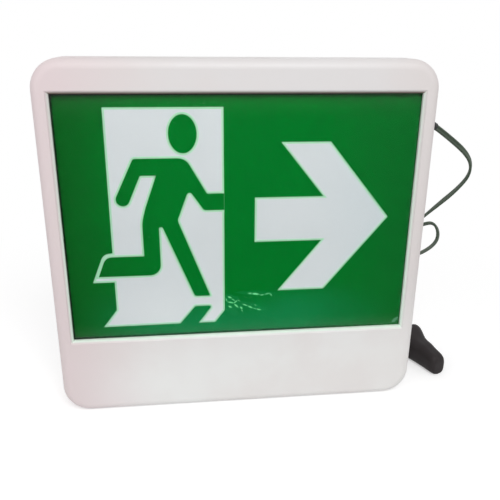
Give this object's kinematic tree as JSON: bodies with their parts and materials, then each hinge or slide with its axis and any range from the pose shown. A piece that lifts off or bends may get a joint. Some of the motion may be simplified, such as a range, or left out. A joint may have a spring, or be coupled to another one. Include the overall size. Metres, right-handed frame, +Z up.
{
  "type": "emergency exit light",
  "caption": "Emergency exit light: shallow moulded box with rounded corners, lit green and white running-figure and arrow panel, plain lower band, test button, mains lead and plug.",
  "frame": {"origin": "middle of the lower edge that it stands on, halfway through its depth", "axes": "+Z up, +Y to the back, so the lit face looks along -Y; +X to the right seen from the front"},
  "size_m": [0.394, 0.1404, 0.315],
  "materials": {
    "housing": "satin moulded, warm light grey-white",
    "screws": "zinc plated",
    "lens": "clear, glossy",
    "legend": "printed film, green and white",
    "diffuser": "opal",
    "tray": "white enamel",
    "strip": "white board",
    "chips": "yellow phosphor",
    "terminal": "moulded",
    "battery": "shrink sleeve",
    "holder": "moulded",
    "spring_steel": "bright",
    "board": "solder mask",
    "core": "laminated, varnished",
    "cans": "satin",
    "sink": "matt",
    "button": "moulded",
    "switch": "moulded",
    "lamp": "clear tinted",
    "pipe": "clear",
    "rubber_black": "matt",
    "cord": "dark green flat twin",
    "tie": "strap",
    "plug": "soft moulded",
    "blades": "plain",
    "lead": "insulated wire"
  },
  "bodies": {
    "housing": {"front_frame": "housing", "back_plate": "housing", "housing_screws": "screws", "face_lens": "lens", "legend_film": "legend", "diffuser_panel": "diffuser", "reflector_tray": "tray", "tray_screws": "screws", "led_strip_upper": "strip", "led_chips_upper": "chips", "led_strip_lower": "strip", "led_chips_lower": "chips", "led_connector": "terminal", "battery_pack": "battery", "battery_holder": "holder", "battery_strap": "spring_steel", "holder_screws": "screws", "driver_board": "board", "board_screws": "screws", "transformer": "core", "capacitors": "cans", "terminal_block": "terminal", "heat_sink": "sink", "button_spring": "spring_steel", "test_switch": "switch", "switch_board": "board", "charge_lamp": "lamp", "light_pipe": "pipe", "strain_relief": "rubber_black", "power_cord": "cord", "plug_lead": "cord", "cord_coil": "cord", "cord_tie": "tie", "plug_body": "plug", "plug_blades": "blades", "led_lead": "lead", "battery_lead": "lead", "switch_lead": "lead", "mains_lead": "lead"},
    "button": {"test_button": "button"}
  },
  "joints": [
    {"name": "test_press", "type": "slide", "parent": "housing", "child": "button", "axis": [-1, 0, 0], "range_m": [0, 0.0015], "stiffness_N_per_m": 400, "springref_m": -0.002, "deforming": ["button_spring"]}
  ]
}
